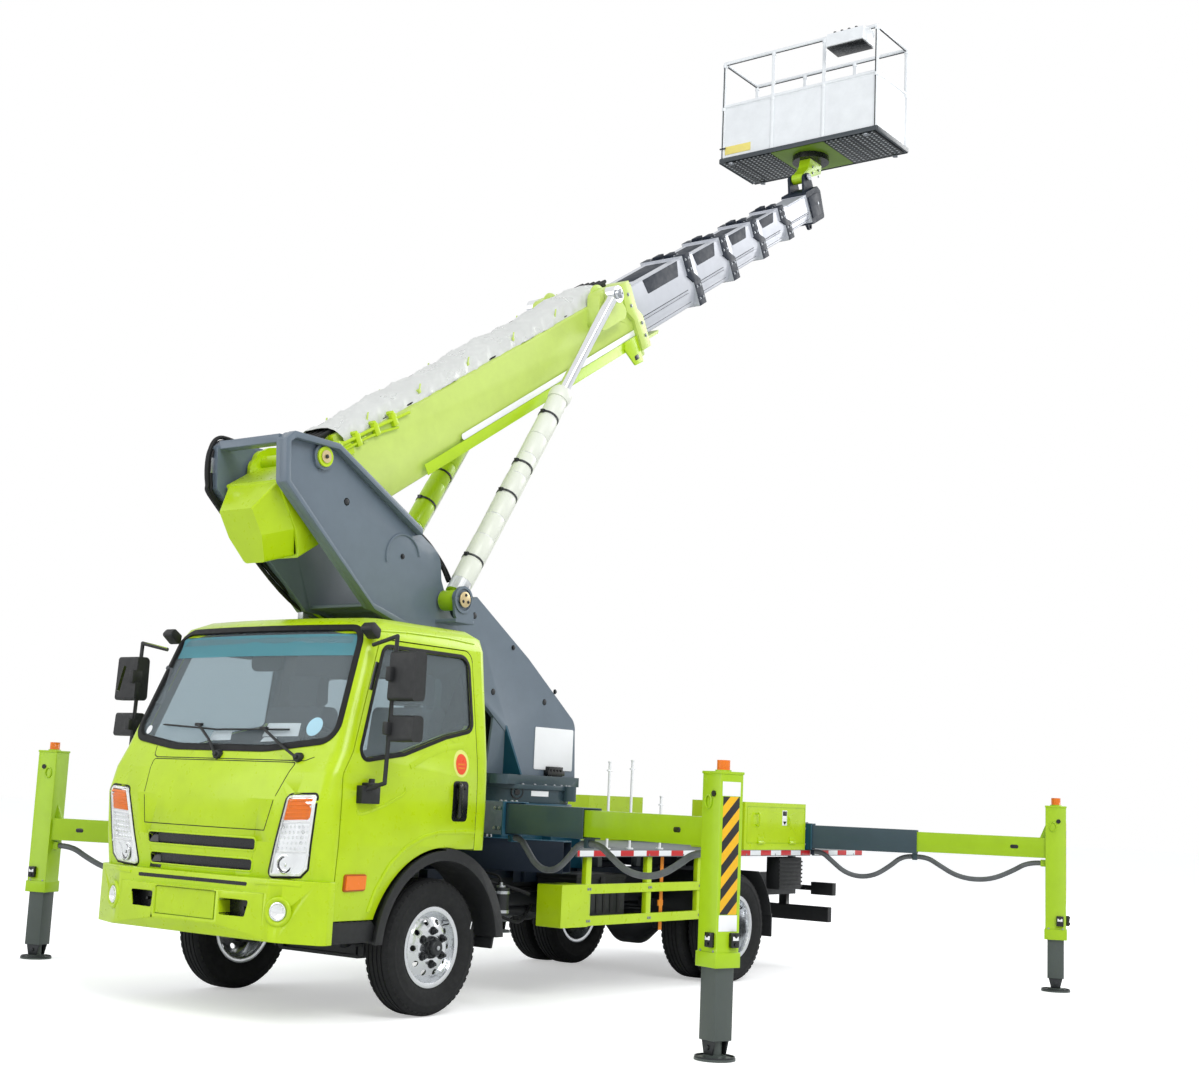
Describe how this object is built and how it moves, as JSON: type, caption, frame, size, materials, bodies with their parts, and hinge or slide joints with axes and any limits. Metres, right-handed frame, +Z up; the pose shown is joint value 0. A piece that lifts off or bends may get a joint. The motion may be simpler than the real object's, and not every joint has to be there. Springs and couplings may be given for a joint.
{
  "type": "cherry picker truck",
  "caption": "Light cab-over truck with splayed outriggers, slewing turret, telescopic boom and levelled work basket.",
  "frame": {"origin": "on the ground, on the centre plane, midway between the bumper and the basket's far edge", "axes": "+X forward, +Y to the vehicle's left, +Z up"},
  "size_m": [7.15, 5.77, 8.2702],
  "materials": {
    "lime_paint": "gloss lime green paint",
    "chassis_black": "satin black chassis paint",
    "engine_grey": "cast grey",
    "glass": "clear tinted glass",
    "lamp_lens": "clear lamp lens",
    "black_plastic": "moulded black plastic",
    "interior_grey": "grained grey trim",
    "deck_steel": "chequer plate",
    "dark_teal_paint": "satin dark teal paint",
    "dark_slate_paint": "satin dark slate paint",
    "slate_paint": "satin blue-grey paint",
    "silver_paint": "satin silver paint",
    "white_paint": "gloss white paint",
    "chrome": "hard chrome",
    "dark_steel": "dark grey paint",
    "tyre": "black tyre rubber",
    "silver_rim": "silver wheel paint",
    "hose": "ribbed hose"
  },
  "bodies": {
    "chassis": {"chassis_frame": "chassis_black", "axles": "chassis_black", "engine_block": "engine_grey", "cab_shell": "lime_paint", "cab_glass": "glass", "head_lamps": "lamp_lens", "arch_flares": "black_plastic", "front_bumper": "lime_paint", "cab_interior": "interior_grey", "deck": "deck_steel", "tool_boxes": "lime_paint", "side_guards": "lime_paint", "rear_guards": "black_plastic", "outrigger_housings": "dark_teal_paint", "pedestal": "dark_teal_paint"},
    "steering_wheel": {"steering_wheel": "black_plastic"},
    "turret": {"turret_base": "dark_slate_paint", "turret_arm": "slate_paint"},
    "boom": {"boom_base": "lime_paint"},
    "lift_barrels": {"lift_barrels": "white_paint"},
    "lift_rods": {"lift_rods": "chrome"},
    "basket_bracket": {"basket_bracket": "lime_paint"},
    "basket": {"basket_floor": "dark_steel", "basket_rails": "white_paint"},
    "boom_2": {"boom_section_2": "silver_paint"},
    "boom_3": {"boom_section_3": "silver_paint"},
    "boom_4": {"boom_section_4": "silver_paint"},
    "boom_5": {"boom_section_5": "silver_paint"},
    "boom_6": {"boom_section_6": "silver_paint"},
    "door_left": {"door_left": "lime_paint", "door_glass_left": "glass"},
    "knuckle_left": {"knuckle_left": "chassis_black"},
    "front_wheel_left": {"tyre_front_left": "tyre", "rim_front_left": "silver_rim"},
    "rear_wheels_left": {"tyres_rear_left": "tyre", "rims_rear_left": "silver_rim"},
    "door_right": {"door_right": "lime_paint", "door_glass_right": "glass"},
    "knuckle_right": {"knuckle_right": "chassis_black"},
    "front_wheel_right": {"tyre_front_right": "tyre", "rim_front_right": "silver_rim"},
    "rear_wheels_right": {"tyres_rear_right": "tyre", "rims_rear_right": "silver_rim"},
    "stage1_front_left": {"outrigger_stage1_front_left": "dark_slate_paint", "outrigger_hose_front_left": "hose"},
    "leg_front_left": {"outrigger_leg_front_left": "lime_paint"},
    "jack_front_left": {"outrigger_jack_front_left": "dark_steel"},
    "stage1_front_right": {"outrigger_stage1_front_right": "dark_slate_paint", "outrigger_hose_front_right": "hose"},
    "leg_front_right": {"outrigger_leg_front_right": "lime_paint"},
    "jack_front_right": {"outrigger_jack_front_right": "dark_steel"},
    "stage1_rear_left": {"outrigger_stage1_rear_left": "dark_slate_paint", "outrigger_hose_rear_left": "hose"},
    "leg_rear_left": {"outrigger_leg_rear_left": "lime_paint"},
    "jack_rear_left": {"outrigger_jack_rear_left": "dark_steel"},
    "stage1_rear_right": {"outrigger_stage1_rear_right": "dark_slate_paint", "outrigger_hose_rear_right": "hose"},
    "leg_rear_right": {"outrigger_leg_rear_right": "lime_paint"},
    "jack_rear_right": {"outrigger_jack_rear_right": "dark_steel"}
  },
  "joints": [
    {"name": "door_left_hinge", "type": "hinge", "parent": "chassis", "child": "door_left", "pos_m": [3.337, 0.924, 1.3], "axis": [0, 0, -1], "range_deg": [0, 65]},
    {"name": "steer_left", "type": "hinge", "parent": "chassis", "child": "knuckle_left", "pos_m": [2.475, 0.64, 0.386], "axis": [0, 0, 1], "range_deg": [-35, 35]},
    {"name": "front_wheel_left_spin", "type": "hinge", "parent": "knuckle_left", "child": "front_wheel_left", "pos_m": [2.475, 0.782, 0.386], "axis": [0, 1, 0], "continuous": true},
    {"name": "rear_wheels_left_spin", "type": "hinge", "parent": "chassis", "child": "rear_wheels_left", "pos_m": [-0.785, 0.827, 0.386], "axis": [0, 1, 0], "continuous": true},
    {"name": "door_right_hinge", "type": "hinge", "parent": "chassis", "child": "door_right", "pos_m": [3.337, -0.924, 1.3], "axis": [0, 0, 1], "range_deg": [0, 65]},
    {"name": "steer_right", "type": "hinge", "parent": "chassis", "child": "knuckle_right", "pos_m": [2.475, -0.64, 0.386], "axis": [0, 0, 1], "range_deg": [-35, 35]},
    {"name": "front_wheel_right_spin", "type": "hinge", "parent": "knuckle_right", "child": "front_wheel_right", "pos_m": [2.475, -0.782, 0.386], "axis": [0, 1, 0], "continuous": true},
    {"name": "rear_wheels_right_spin", "type": "hinge", "parent": "chassis", "child": "rear_wheels_right", "pos_m": [-0.785, -0.827, 0.386], "axis": [0, 1, 0], "continuous": true},
    {"name": "steering_wheel_turn", "type": "hinge", "parent": "chassis", "child": "steering_wheel", "pos_m": [2.945, 0.45, 1.47], "axis": [-0.6157, 0, 0.788], "range_deg": [-530, 530]},
    {"name": "turret_slew", "type": "hinge", "parent": "chassis", "child": "turret", "pos_m": [0.925, 0, 1.215], "axis": [0, 0, 1], "continuous": true},
    {"name": "boom_lift", "type": "hinge", "parent": "turret", "child": "boom", "pos_m": [3.035, 0, 3.19], "axis": [0, 1, 0], "range_deg": [-32, 43]},
    {"name": "lift_barrel_swing", "type": "hinge", "parent": "turret", "child": "lift_barrels", "pos_m": [1.895, 0, 2.47], "axis": [0, 1, 0], "range_deg": [-33, 44]},
    {"name": "lift_rod_slide", "type": "slide", "parent": "lift_barrels", "child": "lift_rods", "axis": [-0.5481, 0, 0.8364], "range_m": [-0.72, 0.98]},
    {"name": "telescope_2", "type": "slide", "parent": "boom", "child": "boom_2", "axis": [-0.848, 0, 0.5299], "range_m": [-0.49, 1.6]},
    {"name": "telescope_3", "type": "slide", "parent": "boom_2", "child": "boom_3", "axis": [-0.848, 0, 0.5299], "range_m": [-0.452, 1.4714]},
    {"name": "telescope_4", "type": "slide", "parent": "boom_3", "child": "boom_4", "axis": [-0.848, 0, 0.5299], "range_m": [-0.402, 1.3081]},
    {"name": "telescope_5", "type": "slide", "parent": "boom_4", "child": "boom_5", "axis": [-0.848, 0, 0.5299], "range_m": [-0.362, 1.1775]},
    {"name": "telescope_6", "type": "slide", "parent": "boom_5", "child": "boom_6", "axis": [-0.848, 0, 0.5299], "range_m": [-0.292, 0.9489]},
    {"name": "basket_level", "type": "hinge", "parent": "boom_6", "child": "basket_bracket", "pos_m": [-3.02006, 0, 6.97362], "axis": [0, 1, 0], "range_deg": [-43.5, 32.5]},
    {"name": "basket_rotate", "type": "hinge", "parent": "basket_bracket", "child": "basket", "pos_m": [-3.225, 0, 7.26], "axis": [0, 0, 1], "range_deg": [-90, 90]},
    {"name": "beam1_front_left", "type": "slide", "parent": "chassis", "child": "stage1_front_left", "axis": [0.309, 0.9511, 0], "range_m": [-0.7286, 0], "deforming": ["outrigger_hose_front_left"]},
    {"name": "beam2_front_left", "type": "slide", "parent": "stage1_front_left", "child": "leg_front_left", "axis": [0.309, 0.9511, 0], "range_m": [-1.0073, 0]},
    {"name": "jack_front_left", "type": "slide", "parent": "leg_front_left", "child": "jack_front_left", "axis": [0, 0, 1], "range_m": [0, 0.36]},
    {"name": "beam1_front_right", "type": "slide", "parent": "chassis", "child": "stage1_front_right", "axis": [0.309, -0.9511, 0], "range_m": [-0.7286, 0], "deforming": ["outrigger_hose_front_right"]},
    {"name": "beam2_front_right", "type": "slide", "parent": "stage1_front_right", "child": "leg_front_right", "axis": [0.309, -0.9511, 0], "range_m": [-1.0073, 0]},
    {"name": "jack_front_right", "type": "slide", "parent": "leg_front_right", "child": "jack_front_right", "axis": [0, 0, 1], "range_m": [0, 0.36]},
    {"name": "beam1_rear_left", "type": "slide", "parent": "chassis", "child": "stage1_rear_left", "axis": [-0.342, 0.9397, 0], "range_m": [-0.7381, 0], "deforming": ["outrigger_hose_rear_left"]},
    {"name": "beam2_rear_left", "type": "slide", "parent": "stage1_rear_left", "child": "leg_rear_left", "axis": [-0.342, 0.9397, 0], "range_m": [-0.8911, 0]},
    {"name": "jack_rear_left", "type": "slide", "parent": "leg_rear_left", "child": "jack_rear_left", "axis": [0, 0, 1], "range_m": [0, 0.28]},
    {"name": "beam1_rear_right", "type": "slide", "parent": "chassis", "child": "stage1_rear_right", "axis": [-0.342, -0.9397, 0], "range_m": [-0.7381, 0], "deforming": ["outrigger_hose_rear_right"]},
    {"name": "beam2_rear_right", "type": "slide", "parent": "stage1_rear_right", "child": "leg_rear_right", "axis": [-0.342, -0.9397, 0], "range_m": [-0.8911, 0]},
    {"name": "jack_rear_right", "type": "slide", "parent": "leg_rear_right", "child": "jack_rear_right", "axis": [0, 0, 1], "range_m": [0, 0.28]}
  ],
  "couplings": [
    {"joint": "steer_right", "follows": "steer_left", "ratio": 1},
    {"joint": "steering_wheel_turn", "follows": "steer_left", "ratio": 15},
    {"joint": "lift_barrel_swing", "follows": "boom_lift", "ratio": 1},
    {"joint": "lift_rod_slide", "follows": "boom_lift", "m_per_rad": 1.25},
    {"joint": "telescope_3", "follows": "telescope_2", "ratio": 0.9184},
    {"joint": "telescope_4", "follows": "telescope_2", "ratio": 0.8163},
    {"joint": "telescope_5", "follows": "telescope_2", "ratio": 0.7347},
    {"joint": "telescope_6", "follows": "telescope_2", "ratio": 0.5918},
    {"joint": "basket_level", "follows": "boom_lift", "ratio": -1},
    {"joint": "beam2_front_left", "follows": "beam1_front_left", "ratio": 1.3812},
    {"joint": "beam2_front_right", "follows": "beam1_front_right", "ratio": 1.3812},
    {"joint": "beam2_rear_left", "follows": "beam1_rear_left", "ratio": 1.2058},
    {"joint": "beam2_rear_right", "follows": "beam1_rear_right", "ratio": 1.2058}
  ]
}
